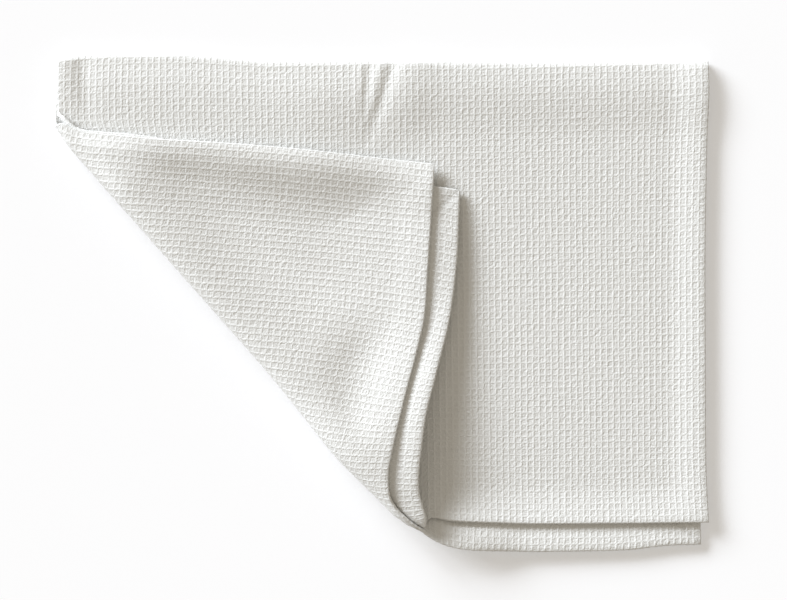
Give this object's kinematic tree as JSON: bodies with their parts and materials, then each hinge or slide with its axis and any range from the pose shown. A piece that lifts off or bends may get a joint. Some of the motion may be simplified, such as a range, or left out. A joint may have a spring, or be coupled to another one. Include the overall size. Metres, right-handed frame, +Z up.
{
  "type": "cloth napkin",
  "caption": "Off-white waffle-weave cotton napkin, hemmed all round, folded in half with a corner of both layers turned back over it in a soft roll.",
  "frame": {"origin": "on the surface it lies on, below the middle of the folded napkin's outline", "axes": "+Z up from the surface; +X along the half-fold crease, towards the side away from the turned-up corner; +Y from the open foot edge towards the half-fold crease"},
  "size_m": [0.4554, 0.346, 0.0252],
  "materials": {
    "waffle_cotton": "matt undyed cotton in a honeycomb weave"
  },
  "bodies": {
    "root": {"napkin_cloth": "waffle_cotton"}
  },
  "joints": []
}
